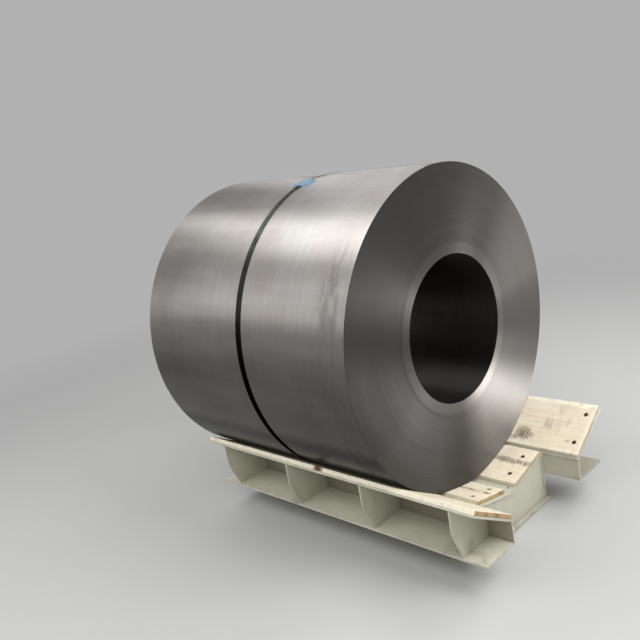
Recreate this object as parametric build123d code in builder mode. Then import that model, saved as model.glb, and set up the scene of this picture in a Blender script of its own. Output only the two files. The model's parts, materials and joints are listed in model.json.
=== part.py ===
from build123d import *
from math import cos, radians, sin, tan
import os

os.makedirs("parts", exist_ok=True)

# Steel coil lying on its side across the boards of a low steel saddle.
# Millimetres. The coil's axis is X, its near end face looks along +X, and Z is up.
# The origin is on the underside of the saddle, below the middle of the coil.

# Coil
coil_outer_diameter = 1328
coil_bore_diameter = 610
coil_width = 1215
# The innermost turns keep the coil's true place; the bands outside them slid a little along the axis.
inner_ring_width = 50
band_slides = (-1.6, -0.8, -1.9, -1.1)

# Strap round the coil, its two ends lapped at the top and held by a crimped seal
strap_width = 32
strap_thickness = 0.9
strap_offset = 36
strap_skew = 1.75
strap_gap = 0.05
lap_length = 110
lap_middle = -136
seal_length = 50
seal_wall = 1.0
seal_clearance = 0.1

# Pad bent over the seal, a little askew
pad_width = 104
pad_length = 70
pad_thickness = 6
pad_middle = (25, -136)
pad_turn = -6
pad_clearance = 0.3

# Saddle: a trough of two shallow and two steep facets, all touching the coil
shallow_tilt = 12.9
steep_tilt = 31.3
seat_gap = 0.2
board_thickness = 18
plate_thickness = 10
fold_strip = 10
valley_strip = 30
steep_board_width = 260
near_board_trim = 28
near_board_setback = 11
groove_clearance = 0.15

# Saddle lengths, and how far each part reaches past the coil's near face
wing_length = 1520
wing_reach = 330
box_length = 1188
box_reach = 164

# Box beam under the shallow facets
box_depth = 145
box_wall = 10
end_setback = 5
floor_thickness = 12
floor_lip = 12

# Wings outside the beam
web_thickness = 10
web_height = 80
flange_width = 190
flange_thickness = 10
gusset_thickness = 8
gusset_setback = 6
gusset_nose = 100
gusset_margin = 110
gusset_count = 4

# Studs welded to the plates, with nuts sunk in the boards
stud_diameter = 10
stud_clearance = 0.5
nut_flats = 16
nut_height = 8
counterbore_diameter = 20
counterbore_depth = 11
shallow_stud_pitch = 116
steep_stud_pitch = 145
shallow_stud_margin = 53
steep_stud_margin = 38

# Spare hole in the bare strip of plate along the valley
spare_hole_diameter = 11
spare_hole_margin = 30
spare_hole_rise = 20

# Derived places
coil_radius = coil_outer_diameter / 2
bore_radius = coil_bore_diameter / 2
near_face = coil_width / 2
half_fold = (steep_tilt - shallow_tilt) / 2
seat_distance = coil_radius + seat_gap
plate_top = seat_distance + board_thickness
plate_under = plate_top + plate_thickness
axis_height = plate_under / cos(radians(shallow_tilt)) + box_depth + floor_thickness
wing_middle = near_face + wing_reach - wing_length / 2
box_middle = near_face + box_reach - box_length / 2


def facet(tilt, distance):
    """Plane of a facet: local X runs with the coil's axis, local Y across the facet, local Z towards the coil."""
    t = radians(tilt)
    centre = (0, distance * sin(t), axis_height - distance * cos(t))
    return Plane(origin=centre, x_dir=(1, 0, 0), z_dir=(0, -sin(t), cos(t)))


def section_point(tilt, distance, along):
    """Point of the saddle's cross-section, on a facet's line, counted from where the coil touches it."""
    t = radians(tilt)
    return (
        distance * sin(t) + along * cos(t),
        axis_height - distance * cos(t) + along * sin(t),
    )


def valley(distance):
    """Distance from the touching line to the middle of the saddle, along a shallow facet."""
    return -distance * tan(radians(shallow_tilt))


def fold(distance):
    """Distance from the touching line to the fold between a shallow and a steep facet."""
    return distance * tan(radians(half_fold))


def hoop(inner, outer, width):
    """Band round the coil, at the strap's place and slant."""
    with BuildPart() as band:
        with BuildSketch(Plane.YZ.offset(-coil_width / 2)):
            with Locations((0, axis_height)):
                Circle(outer)
                Circle(inner, mode=Mode.SUBTRACT)
        extrude(amount=coil_width)
        with BuildSketch(Plane.XZ):
            with Locations(Location((strap_offset, axis_height), strap_skew)):
                Rectangle(width, 4 * outer)
        extrude(amount=2 * outer, both=True, mode=Mode.INTERSECT)
    return band.part


def stretch(band, length):
    """The part of a band that lies under the pad, at the top of the coil."""
    with BuildPart() as piece:
        add(band)
        with BuildSketch(Plane.XY.offset(axis_height)):
            with Locations((0, lap_middle)):
                Rectangle(coil_width, length)
        extrude(amount=coil_outer_diameter, mode=Mode.INTERSECT)
    return piece.part


def section(points, length, middle):
    """Straight piece of the saddle with one cross-section, on the +Y side."""
    with BuildPart() as piece:
        with BuildSketch(Plane.YZ.offset(middle - length / 2)):
            Polygon(*points, align=None)
        extrude(amount=length)
    return piece.part


def stud_spots(centre, length, middle, pitch, margin):
    """Places of a board's four studs in its facet's plane."""
    reach = length / 2 - margin
    return [(middle + i * reach, centre + j * pitch / 2) for i in (-1, 1) for j in (-1, 1)]


def board(tilt, width, centre, length, middle, pitch, margin):
    """Board with two counterbored stud holes near each end, grooved by the strap."""
    top = facet(tilt, seat_distance)
    spots = stud_spots(centre, length, middle, pitch, margin)
    with BuildPart() as piece:
        with BuildSketch(top):
            with Locations((middle, centre)):
                Rectangle(length, width)
        extrude(amount=-board_thickness)
        with BuildSketch(top):
            with Locations(*spots):
                Circle(counterbore_diameter / 2)
        extrude(amount=-counterbore_depth, mode=Mode.SUBTRACT)
        with BuildSketch(top):
            with Locations(*spots):
                Circle(stud_diameter / 2 + stud_clearance)
        extrude(amount=-board_thickness, mode=Mode.SUBTRACT)
        add(strap_groove, mode=Mode.SUBTRACT)
    return piece.part


def studs(tilt, centre, length, middle, pitch, margin):
    """The four studs of one board, each with its nut on the floor of the counterbore."""
    spots = stud_spots(centre, length, middle, pitch, margin)
    with BuildPart() as piece:
        with BuildSketch(facet(tilt, plate_top)):
            with Locations(*spots):
                Circle(stud_diameter / 2)
        extrude(amount=board_thickness - counterbore_depth)
        with BuildSketch(facet(tilt, seat_distance + counterbore_depth)):
            with Locations(*spots):
                RegularPolygon(nut_flats / 2, 6, major_radius=False)
        extrude(amount=nut_height)
    return piece.part


# Coil: one turned solid with its bore
with BuildPart() as steel_coil:
    with BuildSketch(Plane.XZ):
        with BuildLine():
            band_width = (coil_radius - bore_radius - inner_ring_width) / len(band_slides)
            steps = [(bore_radius, bore_radius + inner_ring_width, 0)]
            for slide in band_slides:
                steps.append((steps[-1][1], steps[-1][1] + band_width, slide))
            near_side = [(near_face + s, axis_height + r) for low, high, s in steps for r in (low, high)]
            far_side = [(x - coil_width, z) for x, z in reversed(near_side)]
            Polyline(*near_side, *far_side, close=True)
        make_face()
    revolve(axis=Axis((0, 0, axis_height), (1, 0, 0)))

# Strap: a closed band, with its upper end lapped over the lower one
strap_inner = coil_radius + strap_gap
strap_outer = strap_inner + strap_thickness
lap_outer = strap_outer + strap_thickness
strap_ring = hoop(strap_inner, strap_outer, strap_width)
strap_lap = stretch(hoop(strap_outer, lap_outer, strap_width), lap_length)
with BuildPart() as strap:
    add(strap_ring)
    add(strap_lap)

# Groove that the strap has pressed into the boards
strap_groove = hoop(bore_radius, strap_outer + groove_clearance, strap_width + 2 * groove_clearance)

# Seal: a cap crimped over the lapped ends
seal_outer = lap_outer + seal_clearance + seal_wall
seal_width = strap_width + 2 * (seal_clearance + seal_wall)
seal_cap = stretch(hoop(strap_inner, seal_outer, seal_width), seal_length)
seal_channel = hoop(bore_radius, lap_outer + seal_clearance, strap_width + 2 * seal_clearance)
with BuildPart() as strap_seal:
    add(seal_cap)
    add(seal_channel, mode=Mode.SUBTRACT)

# Pad: a sheet bent over the coil, with a channel underneath for the seal
pad_inner = coil_radius + pad_clearance
pad_channel = hoop(bore_radius, seal_outer + pad_clearance, seal_width + 2 * pad_clearance)
with BuildPart() as strap_pad:
    with BuildSketch(Plane.XY.offset(axis_height)):
        with Locations(Location(pad_middle, pad_turn)):
            Rectangle(pad_width, pad_length)
    extrude(amount=coil_outer_diameter)
    with BuildSketch(Plane.YZ.offset(-coil_width / 2)):
        with Locations((0, axis_height)):
            Circle(pad_inner + pad_thickness)
            Circle(pad_inner, mode=Mode.SUBTRACT)
    extrude(amount=coil_width, mode=Mode.INTERSECT)
    add(pad_channel, mode=Mode.SUBTRACT)

# Boards: widths and places across the facets, counted from where the coil touches
shallow_inner = valley(seat_distance) + valley_strip
far_board_width = fold(seat_distance) - fold_strip - shallow_inner
near_board_width = far_board_width - near_board_trim
near_board_length = box_length - 2 * near_board_setback
steep_centre = -fold(seat_distance) + fold_strip + steep_board_width / 2
far_centre = shallow_inner + far_board_width / 2
near_centre = -(shallow_inner + near_board_width / 2)

steep_layout = (steep_centre, wing_length, wing_middle, steep_stud_pitch, steep_stud_margin)
mirrored_layout = (-steep_centre, wing_length, wing_middle, steep_stud_pitch, steep_stud_margin)
far_layout = (far_centre, box_length, box_middle, shallow_stud_pitch, shallow_stud_margin)
near_layout = (near_centre, near_board_length, box_middle, shallow_stud_pitch, shallow_stud_margin)

far_steep_board = board(steep_tilt, steep_board_width, *steep_layout)
near_steep_board = board(-steep_tilt, steep_board_width, *mirrored_layout)
with BuildPart() as steep_boards:
    add(far_steep_board)
    add(near_steep_board)

far_shallow_board = board(shallow_tilt, far_board_width, *far_layout)
near_shallow_board = board(-shallow_tilt, near_board_width, *near_layout)
with BuildPart() as shallow_boards:
    add(far_shallow_board)
    add(near_shallow_board)

# Studs of all four boards
stud_groups = [
    studs(steep_tilt, *steep_layout),
    studs(-steep_tilt, *mirrored_layout),
    studs(shallow_tilt, *far_layout),
    studs(-shallow_tilt, *near_layout),
]
with BuildPart() as board_studs:
    add(stud_groups)

# Plates under the boards, mitred where they meet
steep_edge = steep_centre + steep_board_width / 2
steep_section = [
    section_point(steep_tilt, plate_top, -fold(plate_top)),
    section_point(steep_tilt, plate_top, steep_edge),
    section_point(steep_tilt, plate_under, steep_edge),
    section_point(steep_tilt, plate_under, -fold(plate_under)),
]
shallow_section = [
    section_point(shallow_tilt, plate_top, valley(plate_top)),
    section_point(shallow_tilt, plate_top, fold(plate_top)),
    section_point(shallow_tilt, plate_under, fold(plate_under)),
    section_point(shallow_tilt, plate_under, valley(plate_under)),
]
steep_plate = section(steep_section, wing_length, wing_middle)
shallow_plate = section(shallow_section, box_length, box_middle)
near_shallow = mirror(shallow_plate, about=Plane.XZ)

with BuildPart() as steep_plates:
    add(steep_plate)
    mirror(about=Plane.XZ)

spare_hole = (near_face + box_reach - spare_hole_margin, valley(plate_top) + spare_hole_rise)
with BuildPart() as far_shallow_plate:
    add(shallow_plate)
    with BuildSketch(facet(shallow_tilt, plate_top)):
        with Locations(spare_hole):
            Circle(spare_hole_diameter / 2)
    extrude(amount=-plate_thickness, mode=Mode.SUBTRACT)

with BuildPart() as near_shallow_plate:
    add(near_shallow)

# Cross-section corners of the beam and the wings
fold_y, fold_z = section_point(shallow_tilt, plate_under, fold(plate_under))
valley_z = section_point(shallow_tilt, plate_under, valley(plate_under))[1]
wall_y = fold_y - box_wall
wall_z = fold_z - box_wall * tan(radians(shallow_tilt))
web_y = fold_y + web_thickness
web_bottom = fold_z - web_height
flange_y = fold_y + flange_width


def steep_under(y):
    """Height of the steep plate's underside."""
    return fold_z + (y - fold_y) * tan(radians(steep_tilt))


# Box beam: two walls, two ends and a floor
box_wall_piece = section(
    [(wall_y, floor_thickness), (fold_y, floor_thickness), (fold_y, fold_z), (wall_y, wall_z)],
    box_length, box_middle,
)
with BuildPart() as box_walls:
    add(box_wall_piece)
    mirror(about=Plane.XZ)

end_section = [
    (-wall_y, floor_thickness),
    (wall_y, floor_thickness),
    (wall_y, wall_z),
    (0, valley_z),
    (-wall_y, wall_z),
]
end_shift = box_length / 2 - end_setback - box_wall / 2
with BuildPart() as box_ends:
    add(section(end_section, box_wall, box_middle + end_shift))
    add(section(end_section, box_wall, box_middle - end_shift))

with BuildPart() as box_floor:
    with BuildSketch(Plane.XY):
        with Locations((box_middle, 0)):
            Rectangle(box_length + 2 * floor_lip, 2 * (fold_y + floor_lip))
    extrude(amount=floor_thickness)

# Wings: a web against the beam, a flange below it and gussets out to the steep plate's edge
web_piece = section(
    [(fold_y, web_bottom), (web_y, web_bottom), (web_y, steep_under(web_y)), (fold_y, fold_z)],
    wing_length, wing_middle,
)
with BuildPart() as wing_webs:
    add(web_piece)
    mirror(about=Plane.XZ)

flange_piece = section(
    [(fold_y, web_bottom - flange_thickness), (flange_y, web_bottom - flange_thickness),
     (flange_y, web_bottom), (fold_y, web_bottom)],
    wing_length, wing_middle,
)
with BuildPart() as wing_flanges:
    add(flange_piece)
    mirror(about=Plane.XZ)

gusset_foot = flange_y - gusset_setback
gusset_edge = section_point(steep_tilt, plate_under, steep_edge)[0] - gusset_setback
gusset_section = [
    (web_y, web_bottom),
    (gusset_foot, web_bottom),
    (gusset_edge, steep_under(gusset_edge) - gusset_nose),
    (gusset_edge, steep_under(gusset_edge)),
    (web_y, steep_under(web_y)),
]
gusset_pitch = (wing_length - 2 * gusset_margin) / (gusset_count - 1)
gusset_places = [wing_middle + (i - (gusset_count - 1) / 2) * gusset_pitch for i in range(gusset_count)]
gussets = [section(gusset_section, gusset_thickness, place) for place in gusset_places]
with BuildPart() as wing_gussets:
    add(gussets)
    mirror(about=Plane.XZ)

pieces = {
    "steel_coil": steel_coil,
    "strap": strap,
    "strap_seal": strap_seal,
    "strap_pad": strap_pad,
    "steep_boards": steep_boards,
    "shallow_boards": shallow_boards,
    "board_studs": board_studs,
    "steep_plates": steep_plates,
    "far_shallow_plate": far_shallow_plate,
    "near_shallow_plate": near_shallow_plate,
    "box_walls": box_walls,
    "box_ends": box_ends,
    "box_floor": box_floor,
    "wing_webs": wing_webs,
    "wing_flanges": wing_flanges,
    "wing_gussets": wing_gussets,
}
for name, piece in pieces.items():
    piece.part.label = name
    export_step(piece.part, f"parts/{name}.step")
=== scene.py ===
"""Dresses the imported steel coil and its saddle, and sets the stage round them."""

import json
from math import cos, pi, radians, sin, tan

import bmesh
import bpy
import numpy as np
from bpy.props import FloatProperty, FloatVectorProperty, PointerProperty
from mathutils import Matrix, Vector


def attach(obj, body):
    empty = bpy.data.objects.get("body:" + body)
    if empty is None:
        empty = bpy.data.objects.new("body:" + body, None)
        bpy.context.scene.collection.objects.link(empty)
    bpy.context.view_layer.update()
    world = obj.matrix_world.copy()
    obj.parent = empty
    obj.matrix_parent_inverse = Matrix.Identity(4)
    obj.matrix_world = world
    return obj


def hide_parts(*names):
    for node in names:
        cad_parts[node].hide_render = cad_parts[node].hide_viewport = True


bl_info = {
    "name": "Steel coil on its saddle",
    "version": (1, 0, 0),
    "blender": (4, 5, 0),
    "location": "3D View > Sidebar > Steel coil",
    "description": "Dresses a steel coil, its strap and the saddle that it lies on",
    "category": "Object",
}

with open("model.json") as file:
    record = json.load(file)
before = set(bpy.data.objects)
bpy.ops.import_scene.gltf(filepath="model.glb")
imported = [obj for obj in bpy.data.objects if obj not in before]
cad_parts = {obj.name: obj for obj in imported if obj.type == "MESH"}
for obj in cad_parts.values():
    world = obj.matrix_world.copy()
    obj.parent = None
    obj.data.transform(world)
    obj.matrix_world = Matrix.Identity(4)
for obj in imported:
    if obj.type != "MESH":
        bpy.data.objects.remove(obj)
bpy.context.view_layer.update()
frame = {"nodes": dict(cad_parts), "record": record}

MM = 0.001

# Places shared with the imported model: the coil's axis runs along X at this height
AXIS_HEIGHT = frame["record"]["mounts"][0]["pos_m"][2]
SEAT_DISTANCE = 664.2 * MM
STRAP_OUTSIDE = 664.95 * MM
STRAP_X, STRAP_SLANT = 0.036, radians(1.75)
GROOVE_HEIGHT = 0.22
NEAR_WEB_FACE = 0.2738
BEAM_DEPTH = 0.145
SHALLOW, STEEP = 12.9, 31.3


# Settings


def length(name, description, default):
    """A size in metres."""
    return FloatProperty(name=name, description=description, default=default, unit="LENGTH", precision=4)


def colour(name, description, default):
    """A colour, as linear red, green and blue."""
    return FloatVectorProperty(name=name, description=description, default=default, subtype="COLOR", size=3)


def share(name, description, default):
    """A share from 0 to 1."""
    return FloatProperty(name=name, description=description, default=default, subtype="FACTOR", min=0, max=1)


def turn(name, description, degrees):
    """An angle, given in degrees."""
    return FloatProperty(name=name, description=description, default=radians(degrees), unit="ROTATION")


class CoilSettings(bpy.types.PropertyGroup):
    radius: length("Outer radius", "Radius of the outermost turn", 0.664)
    bore: length("Bore radius", "Radius of the innermost turn", 0.305)
    width: length("Width", "Width of the rolled strip", 1.215)
    inner_ring: length("Inner ring", "Build-up of the turns that kept their place", 0.050)
    turn_jitter: length("Turn jitter", "How far single turns stand out of line", 0.00003)
    edge_radius: length("Edge radius", "Rounding of the outermost turn's edges", 0.0008)
    side_colour: colour("Side colour", "Bare steel of the outer turn", (0.31, 0.30, 0.287))
    end_colour: colour("End colour", "Cut edges of the turns", (0.124, 0.118, 0.109))
    bore_colour: colour("Bore colour", "Steel of the innermost turn", (0.17, 0.155, 0.132))
    # Painted shade: the share to which the lower half of the side is darkened
    painted_lower_shade: share("Oiled steel", "Shade of the lower half of the side, where the oil has run down", 0.40)


class StrapSettings(bpy.types.PropertyGroup):
    strap_colour: colour("Strap colour", "Blued steel of the strap", (0.030, 0.031, 0.027))
    pad_colour: colour("Pad colour", "Blue plastic of the pad", (0.04, 0.14, 0.25))
    pad_core: colour("Pad core", "Whitened plastic at the pad's torn corners", (0.50, 0.50, 0.49))
    pad_width: length("Pad width", "Width of the pad along the coil's axis", 0.104)
    pad_length: length("Pad length", "Length of the pad round the coil", 0.070)
    pad_x: length("Pad place along the axis", "Middle of the pad along the coil's axis", 0.025)
    pad_y: length("Pad place across", "Middle of the pad across the coil", -0.136)
    pad_turn: turn("Pad turn", "How far the pad is askew", -6)


class BoardSettings(bpy.types.PropertyGroup):
    thickness: length("Thickness", "Thickness of the boards", 0.018)
    wood_pale: colour("Pale wood", "Colour of the scraped wood", (0.79, 0.71, 0.555))
    wood_dark: colour("Dark wood", "Colour of the grain lines", (0.58, 0.43, 0.24))
    wood_edge: colour("Wood edge", "Fresh wood at the chipped edges", (0.88, 0.82, 0.66))
    scuff_colour: colour("Scuffs", "Rubbed-in dirt of the coils", (0.095, 0.070, 0.048))
    counterbore: length("Counterbore radius", "Radius of the sunk stud holes", 0.010)
    counterbore_depth: length("Counterbore depth", "Depth of the sunk stud holes", 0.011)
    stud_hole: length("Stud hole radius", "Radius of the holes round the studs", 0.0055)


class SaddleSettings(bpy.types.PropertyGroup):
    paint: colour("Paint", "Pale paint of the saddle", (0.56, 0.55, 0.45))
    dirt: colour("Dirt", "Brown dirt in the corners", (0.10, 0.075, 0.045))
    bare: colour("Bare steel", "Steel where the paint has worn off", (0.23, 0.20, 0.17))
    edge: length("Edge wear", "Width of the worn edges", 0.0014)


class StageSettings(bpy.types.PropertyGroup):
    heading: turn("Heading", "Direction in which the camera looks", 137.034)
    dip: turn("Dip", "How far the camera looks down", 14.837)
    roll: turn("Roll", "How far the camera is rolled", 10.424)
    eye: FloatVectorProperty(
        name="Eye", description="Where the camera stands", default=(2.375, -2.380, 1.778), subtype="TRANSLATION",
    )
    lens: FloatProperty(name="Focal length", description="In millimetres, on a 36 mm sensor", default=42.52)
    surround: share("Surround", "Brightness of the surround", 0.44)
    floor_colour: colour("Floor", "Plain pale floor", (0.46, 0.46, 0.455))


SETTINGS = {
    "coil_settings": CoilSettings,
    "strap_settings": StrapSettings,
    "board_settings": BoardSettings,
    "saddle_settings": SaddleSettings,
    "stage_settings": StageSettings,
}


# Surfaces


def waves(places, seed, count, shortest, longest):
    """Smooth random field of about -1 to 1: the sum of sines of the place along random directions, with random
    phases and wavelengths."""
    rng = np.random.default_rng(seed)
    directions = rng.normal(size=(count, places.shape[-1]))
    directions /= np.linalg.norm(directions, axis=1, keepdims=True)
    lengths = np.exp(rng.uniform(np.log(shortest), np.log(longest), count))
    phases = rng.uniform(0, 2 * pi, count)
    field = np.sin(places @ (2 * pi * directions / lengths[:, None]).T + phases)
    return field.sum(axis=-1) / np.sqrt(2 * count)


def smooth_step(low, high, value):
    """0 below low, 1 above high, and 3t^2 - 2t^3 between."""
    t = np.clip((value - low) / (high - low), 0, 1)
    return t * t * (3 - 2 * t)


def fill(layer, field, values, kind=np.float32):
    """Stores an array in one layer of a mesh."""
    layer.foreach_set(field, np.ascontiguousarray(values, dtype=kind).ravel())


def in_scene(name, data):
    """New object at the origin, in the scene."""
    made = bpy.data.objects.new(name, data)
    bpy.context.scene.collection.objects.link(made)
    return made


def mesh_piece(name, points, quads, materials, material_index=None, smooth=True):
    """Object made of the points and of the four-cornered faces between them."""
    mesh = bpy.data.meshes.new(name)
    mesh.vertices.add(len(points))
    fill(mesh.vertices, "co", points)
    mesh.loops.add(quads.size)
    fill(mesh.loops, "vertex_index", quads, np.int32)
    mesh.polygons.add(len(quads))
    fill(mesh.polygons, "loop_start", np.arange(0, quads.size, 4), np.int32)
    for material in materials:
        mesh.materials.append(material)
    if material_index is not None:
        fill(mesh.polygons, "material_index", material_index, np.int32)
    fill(mesh.polygons, "use_smooth", np.full(len(quads), smooth), bool)
    mesh.update(calc_edges=True)
    mesh.validate()
    return in_scene(name, mesh)


def attribute(piece, name, values):
    """Stores one number or one vector for each vertex."""
    kind, field = ("FLOAT_VECTOR", "vector") if values.ndim == 2 else ("FLOAT", "value")
    fill(piece.data.attributes.new(name, kind, "POINT").data, field, values)


def belongs(piece, node):
    """The piece rides with the whole object and stands for the node, which is hidden."""
    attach(piece, "root")
    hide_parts(node)


def ring_quads(rows, columns):
    """Faces of a grid that is closed both ways."""
    i, j = np.arange(rows)[:, None], np.arange(columns)[None, :]
    next_i, next_j = (i + 1) % rows, (j + 1) % columns
    corners = (i * columns + j, i * columns + next_j, next_i * columns + next_j, next_i * columns + j)
    return np.stack(corners, axis=-1).reshape(-1, 4)


def cell_faces(cells, row):
    """Faces of a grid, from the numbers of their first corners and the count of points in a row."""
    return np.stack([cells, cells + row, cells + row + 1, cells + 1], axis=-1)


def loop_round(block):
    """The outermost numbers of a block, in order round it."""
    return np.concatenate([block[:-1, 0], block[-1, :-1], block[:0:-1, -1], block[0, :0:-1]])


def band_faces(upper, lower):
    """Faces between two closed loops of the same length."""
    return np.stack([upper, lower, np.roll(lower, -1), np.roll(upper, -1)], axis=-1)


# Nodes


class Field:
    """What a shader node puts out. A sign of arithmetic between two fields, or a field and a number, adds a Math
    node."""

    def __init__(self, socket):
        self.socket = socket

    def node(self, kind, inputs, output=0, **settings):
        """Adds a node beside this one and gives one of its outputs."""
        return put(self.socket.id_data, kind, inputs, output, **settings)

    def math(self, operation, first, second=0.0):
        """Result of one Math node."""
        return self.node("ShaderNodeMath", {0: first, 1: second}, operation=operation)

    def __add__(self, other):
        return self.math("ADD", self, other)

    def __sub__(self, other):
        return self.math("SUBTRACT", self, other)

    def __rsub__(self, other):
        return self.math("SUBTRACT", other, self)

    def __mul__(self, other):
        return self.math("MULTIPLY", self, other)

    def __abs__(self):
        return self.math("ABSOLUTE", self)

    def larger(self, other):
        """The larger of two numbers."""
        return self.math("MAXIMUM", self, other)

    def vector(self, operation, other=(0, 0, 0)):
        """Result of one Vector Math node: a number for a length or a dot product, and else a vector."""
        output = 1 if operation in ("LENGTH", "DOT_PRODUCT") else 0
        return self.node("ShaderNodeVectorMath", {0: self, 1: other}, output, operation=operation)

    def stretched(self, *factors):
        """The vector, each of its parts times its own factor. A pattern on it is drawn out where that is small."""
        return self.vector("MULTIPLY", factors)

    def parts(self):
        """The three parts of a vector."""
        return [Field(socket) for socket in self.node("ShaderNodeSeparateXYZ", {0: self}).socket.node.outputs]

    def ramp(self, low, high, to_low=0.0, to_high=1.0):
        """The range from low to high, smoothly turned into another range."""
        inputs = {"Value": self, "From Min": low, "From Max": high, "To Min": to_low, "To Max": to_high}
        return self.node("ShaderNodeMapRange", inputs, interpolation_type="SMOOTHSTEP")

    def noise(self, scale, detail=4.0, roughness=0.55, distortion=0.0):
        """Noise at this place."""
        inputs = {
            "Vector": self, "Scale": scale, "Detail": detail, "Roughness": roughness, "Distortion": distortion,
        }
        return self.node("ShaderNodeTexNoise", inputs)

    def line_noise(self, scale, detail):
        """Noise of a single number, such as the radius."""
        inputs = {"W": self, "Scale": scale, "Detail": detail, "Roughness": 0.6}
        return self.node("ShaderNodeTexNoise", inputs, noise_dimensions="1D")

    def blend(self, first, second):
        """Colour between two colours, by this share."""
        return self.node("ShaderNodeMix", {0: self, 6: opaque(first), 7: opaque(second)}, 2, data_type="RGBA")

    def under(self, *layers):
        """This colour with others laid over it, each by its own share."""
        shade = self
        for cover, layer_colour in layers:
            shade = cover.blend(shade, layer_colour)
        return shade

    def toned(self, factor):
        """This colour, lighter or darker by a factor that varies."""
        spread = self.node("ShaderNodeCombineColor", {0: factor, 1: factor, 2: factor})
        inputs = {0: 1.0, 6: self, 7: spread}
        return self.node("ShaderNodeMix", inputs, 2, data_type="RGBA", blend_type="MULTIPLY")


def opaque(shade):
    """A colour with its opacity. A field stays as it is."""
    return shade if isinstance(shade, Field) else (*shade, 1.0)


def feed(node, values):
    """Sets or links the sockets of a node. In a socket's name an underscore stands for a space."""
    for key, value in values.items():
        socket = node.inputs[key.replace("_", " ") if isinstance(key, str) else key]
        if isinstance(value, Field):
            node.id_data.links.new(value.socket, socket)
        else:
            socket.default_value = value


def put(tree, kind, inputs=None, output=0, **settings):
    """Adds a node to the tree and gives one of its outputs."""
    node = tree.nodes.new(kind)
    for key, value in settings.items():
        setattr(node, key, value)
    feed(node, inputs or {})
    return Field(node.outputs[output])


def new_material(name):
    """Empty material with its Principled shader."""
    material = bpy.data.materials.new(name)
    material.use_nodes = True
    tree = material.node_tree
    tree.nodes.clear()
    shader = tree.nodes.new("ShaderNodeBsdfPrincipled")
    tree.links.new(shader.outputs[0], tree.nodes.new("ShaderNodeOutputMaterial").inputs[0])
    return material, shader


def object_place(shader):
    """Object coordinates, counted from the coil's axis."""
    place = put(shader.id_data, "ShaderNodeTexCoord", output="Object")
    return place.vector("SUBTRACT", (0, 0, AXIS_HEIGHT))


def stored(shader, name, output="Fac"):
    """Number or vector that the surface stores under the name."""
    return put(shader.id_data, "ShaderNodeAttribute", output=output, attribute_name=name)


def surface(shader, base, rough, relief, depth, **others):
    """Gives the shader its colour, its roughness, a relief of the given depth and what its other sockets need."""
    normal = relief.node("ShaderNodeBump", {"Height": relief, "Distance": depth})
    feed(shader, {"Base Color": base, "Roughness": rough, "Normal": normal, **others})


# Effects


def effect(label, **numbers):
    """Makes a function of fields into a shader node group, which is built when it is first used. The group takes a
    place and the numbers, given here with their start values, and puts out what the function returns."""
    starts = {name.replace("_", " "): start for name, start in numbers.items()}

    def build(maker):
        tree = bpy.data.node_groups.new(label, "ShaderNodeTree")
        tree.interface.new_socket(name="Place", in_out="INPUT", socket_type="NodeSocketVector")
        for name, start in starts.items():
            made = tree.interface.new_socket(name=name, in_out="INPUT", socket_type="NodeSocketFloat")
            made.default_value = start
        entry = tree.nodes.new("NodeGroupInput").outputs
        results = maker(*[Field(entry[name]) for name in ("Place", *starts)])
        for name in results:
            tree.interface.new_socket(name=name, in_out="OUTPUT", socket_type="NodeSocketFloat")
        feed(tree.nodes.new("NodeGroupOutput"), results)
        return tree

    def wrap(maker):
        def use(place, *values):
            group = bpy.data.node_groups.get(label) or build(maker)
            inputs = dict(zip(("Place", *starts), (place, *values)))
            outputs = place.node("ShaderNodeGroup", inputs, node_tree=group).socket.node.outputs
            return {socket.name: Field(socket) for socket in outputs}

        return use

    return wrap


@effect("Rolled streaks", Band_scale=6.0, Streak_scale=60.0)
def rolled_streaks(place, band_scale, streak_scale):
    """Long soft bands along the coil's axis and fine streaks round it, from noise stretched along one way, and
    stains."""
    return {
        "Bands": place.stretched(0.12, 1.0, 1.0).noise(band_scale, 5.0, 0.6, 0.2),
        "Streaks": place.stretched(1.0, 0.035, 0.035).noise(streak_scale, 5.0, 0.65, 0.15),
        "Stains": place.noise(3.2, 6.0, 0.62, 0.6),
    }


@effect("Turn lines", Number=0.0, Line_scale=400.0)
def turn_lines(place, number, line_scale):
    """Fine lines and wider bands of a number, such as the radius, that shift a little with the place."""
    shifted = place.noise(2.5, 2.0) * 0.006 + number
    return {"Lines": shifted.line_noise(line_scale, 2.0), "Bands": shifted.line_noise(38.0, 3.0)}


@effect("Grime", Scale=8.0, Amount=0.4)
def grime(place, scale, amount):
    """Patches of dirt where noise is over a level that the amount sets, and specks of a finer noise."""
    over = place.noise(scale, 7.0, 0.62, 0.4) - (0.85 - amount * 0.45)
    return {"Patches": over.ramp(-0.12, 0.10), "Specks": place.noise(scale * 14.0, 3.0, 0.6).ramp(0.60, 0.70)}


@effect("Wood grain", Scale=60.0)
def wood_grain(place, scale):
    """Wood grain: noise stretched far along the board, bent round a few knots."""
    cells = {"Vector": place.stretched(3.2, 7.5, 1.0), "Scale": 1.0}
    knots = place.node("ShaderNodeTexVoronoi", cells, "Distance")
    bent = place.node("ShaderNodeCombineXYZ", {1: knots.ramp(0.02, 0.32, 1.0, 0.0) * 0.030})
    return {
        "Rings": place.stretched(0.045, 1.0, 1.0).vector("ADD", bent).noise(scale, 4.0, 0.55, 1.2),
        "Fibres": place.stretched(0.03, 1.0, 1.0).noise(520.0, 3.0, 0.7),
        "Knots": knots.ramp(0.02, 0.075, 1.0, 0.0),
    }


# Coil


def round_gloss(shader, strength):
    """Bare steel whose fine lines run round the coil's axis, so that its gloss spreads across them."""
    tangent = put(shader.id_data, "ShaderNodeTangent", direction_type="RADIAL", axis="X")
    feed(shader, {"Metallic": 1.0, "Anisotropic": strength, "Anisotropic Rotation": 0.25, "Tangent": tangent})


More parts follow.
